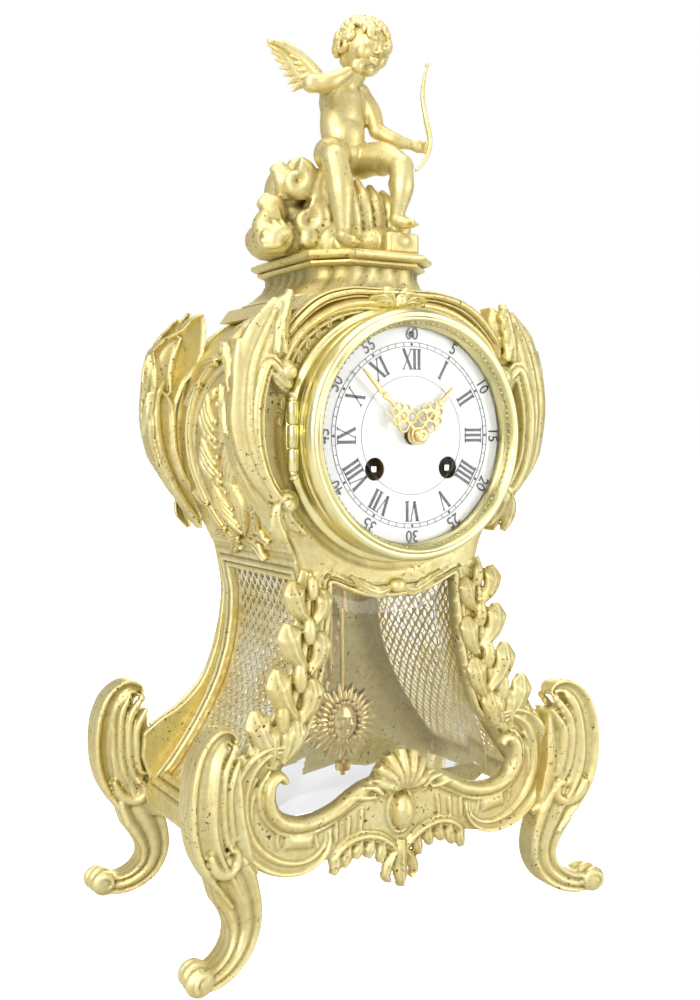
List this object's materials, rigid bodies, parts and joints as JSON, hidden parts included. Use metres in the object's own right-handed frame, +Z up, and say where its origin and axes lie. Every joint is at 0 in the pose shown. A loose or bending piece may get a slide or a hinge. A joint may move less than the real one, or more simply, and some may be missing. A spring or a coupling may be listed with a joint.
{
  "type": "mantel clock",
  "caption": "Rococo gilt-bronze mantel clock on scrolled legs, with a glazed waist, pierced sides, a winged child on top and a striking pendulum movement inside.",
  "frame": {"origin": "middle of the footprint, on the table under the four feet", "axes": "+Z up, -Y out of the dial towards the viewer, +X to the viewer's right"},
  "size_m": [0.224, 0.152, 0.4299],
  "materials": {
    "gilt_bronze": "cast and chased gilt bronze, satin with burnished high points and dark recesses",
    "pierced_gilt": "thin pierced gilt sheet, satin",
    "turned_gilt": "turned and polished gilt bronze",
    "movement_brass": "smooth lacquered brass",
    "arbor_steel": "polished steel arbors carrying brass wheels",
    "hand_gilt": "bright pierced gilt",
    "dial_enamel": "white vitreous enamel with dark numerals",
    "bevelled_pane": "clear flat glass with ground bevels",
    "dome_pane": "clear domed glass",
    "bell_metal": "cast bell metal, turned"
  },
  "bodies": {
    "case": {"front_panel": "gilt_bronze", "back_panel": "gilt_bronze", "side_panel_left": "gilt_bronze", "side_panel_right": "gilt_bronze", "side_grille_left": "pierced_gilt", "side_grille_right": "pierced_gilt", "roof_cap": "gilt_bronze", "pedestal": "gilt_bronze", "rocks": "gilt_bronze", "cupid": "gilt_bronze", "bow": "gilt_bronze", "leg_front_left": "gilt_bronze", "leg_front_right": "gilt_bronze", "leg_back_left": "gilt_bronze", "leg_back_right": "gilt_bronze", "wing_front_left": "gilt_bronze", "wing_front_right": "gilt_bronze", "wing_back_left": "gilt_bronze", "wing_back_right": "gilt_bronze", "garland_left": "gilt_bronze", "garland_right": "gilt_bronze", "front_apron": "gilt_bronze", "window_glass": "bevelled_pane", "front_seat_ring": "turned_gilt", "front_hinge_pin": "turned_gilt", "back_seat_ring": "turned_gilt", "back_hinge_pin": "turned_gilt", "strap_screw_left": "arbor_steel", "strap_screw_right": "arbor_steel", "front_plate": "movement_brass", "back_plate": "movement_brass", "dial": "dial_enamel", "suspension_cock": "movement_brass", "bell": "bell_metal", "bell_stand": "movement_brass"},
    "front_door": {"front_door_ring": "turned_gilt", "front_door_glass": "dome_pane"},
    "back_door": {"back_door": "turned_gilt"},
    "centre": {"centre_wheel": "arbor_steel", "minute_hand": "hand_gilt", "hand_collet": "movement_brass"},
    "hour": {"hour_wheel": "movement_brass", "hour_hand": "hand_gilt"},
    "minute_work": {"minute_wheel": "movement_brass"},
    "second": {"second_wheel": "arbor_steel"},
    "third": {"third_wheel": "arbor_steel"},
    "escape": {"escape_wheel": "arbor_steel"},
    "going_barrel": {"going_barrel": "movement_brass"},
    "going_winding": {"going_winding_arbor": "arbor_steel"},
    "strike_barrel": {"strike_barrel": "movement_brass"},
    "strike_winding": {"strike_winding_arbor": "arbor_steel"},
    "strike_second": {"strike_second_wheel": "arbor_steel"},
    "strike_pin": {"strike_pin_wheel": "arbor_steel"},
    "hammer": {"hammer": "arbor_steel"},
    "pallets": {"pallet_anchor": "arbor_steel"},
    "pendulum": {"suspension_spring": "arbor_steel", "pendulum_rod": "arbor_steel", "pendulum_bob": "hand_gilt", "rating_nut": "movement_brass"}
  },
  "joints": [
    {"name": "front_door_hinge", "type": "hinge", "parent": "case", "child": "front_door", "pos_m": [-0.0573, -0.0583, 0.2276], "axis": [0, 0, -1], "range_deg": [0, 100]},
    {"name": "back_door_hinge", "type": "hinge", "parent": "case", "child": "back_door", "pos_m": [0.0573, 0.0583, 0.2276], "axis": [0, 0, -1], "range_deg": [0, 100]},
    {"name": "minute_arbor", "type": "hinge", "parent": "case", "child": "centre", "pos_m": [0, -0.049, 0.2276], "axis": [0, 1, 0], "continuous": true},
    {"name": "hour_pipe", "type": "hinge", "parent": "case", "child": "hour", "pos_m": [0, -0.049, 0.2276], "axis": [0, 1, 0], "continuous": true},
    {"name": "minute_work_stud", "type": "hinge", "parent": "case", "child": "minute_work", "pos_m": [0, -0.049, 0.2186], "axis": [0, 1, 0], "continuous": true},
    {"name": "second_arbor", "type": "hinge", "parent": "case", "child": "second", "pos_m": [0.01313, -0.049, 0.23115], "axis": [0, 1, 0], "continuous": true},
    {"name": "third_arbor", "type": "hinge", "parent": "case", "child": "third", "pos_m": [0, -0.049, 0.24047], "axis": [0, 1, 0], "continuous": true},
    {"name": "escape_arbor", "type": "hinge", "parent": "case", "child": "escape", "pos_m": [0, -0.049, 0.25263], "axis": [0, 1, 0], "continuous": true},
    {"name": "going_barrel_turn", "type": "hinge", "parent": "case", "child": "going_barrel", "pos_m": [0.0194, -0.049, 0.213], "axis": [0, 1, 0], "continuous": true},
    {"name": "going_winding_turn", "type": "hinge", "parent": "case", "child": "going_winding", "pos_m": [0.0194, -0.049, 0.213], "axis": [0, 1, 0], "continuous": true},
    {"name": "strike_barrel_turn", "type": "hinge", "parent": "case", "child": "strike_barrel", "pos_m": [-0.0194, -0.049, 0.213], "axis": [0, 1, 0], "continuous": true},
    {"name": "strike_winding_turn", "type": "hinge", "parent": "case", "child": "strike_winding", "pos_m": [-0.0194, -0.049, 0.213], "axis": [0, 1, 0], "continuous": true},
    {"name": "strike_second_arbor", "type": "hinge", "parent": "case", "child": "strike_second", "pos_m": [-0.01313, -0.049, 0.23115], "axis": [0, 1, 0], "continuous": true},
    {"name": "strike_pin_arbor", "type": "hinge", "parent": "case", "child": "strike_pin", "pos_m": [-0.01549, -0.049, 0.24454], "axis": [0, 1, 0], "continuous": true},
    {"name": "hammer_arbor", "type": "hinge", "parent": "case", "child": "hammer", "pos_m": [-0.033, -0.049, 0.2456], "axis": [0, 1, 0], "range_deg": [0, 12], "stiffness_Nm_per_rad": 0.004, "springref_deg": -5.73},
    {"name": "pendulum_swing", "type": "hinge", "parent": "case", "child": "pendulum", "pos_m": [0, 0.001, 0.265], "axis": [0, 1, 0], "range_deg": [-4, 4]},
    {"name": "pallet_rock", "type": "hinge", "parent": "case", "child": "pallets", "pos_m": [0, 0.001, 0.265], "axis": [0, 1, 0], "range_deg": [-4, 4]}
  ],
  "couplings": [
    {"joint": "hour_pipe", "follows": "minute_arbor", "ratio": 0.083333},
    {"joint": "minute_work_stud", "follows": "minute_arbor", "ratio": -0.33333},
    {"joint": "second_arbor", "follows": "minute_arbor", "ratio": -0.13333},
    {"joint": "going_barrel_turn", "follows": "minute_arbor", "ratio": 0.014815},
    {"joint": "third_arbor", "follows": "minute_arbor", "ratio": -12},
    {"joint": "escape_arbor", "follows": "minute_arbor", "ratio": 140},
    {"joint": "strike_second_arbor", "follows": "strike_barrel_turn", "ratio": -9},
    {"joint": "strike_pin_arbor", "follows": "strike_barrel_turn", "ratio": 67.5},
    {"joint": "pallet_rock", "follows": "pendulum_swing", "ratio": 1}
  ]
}
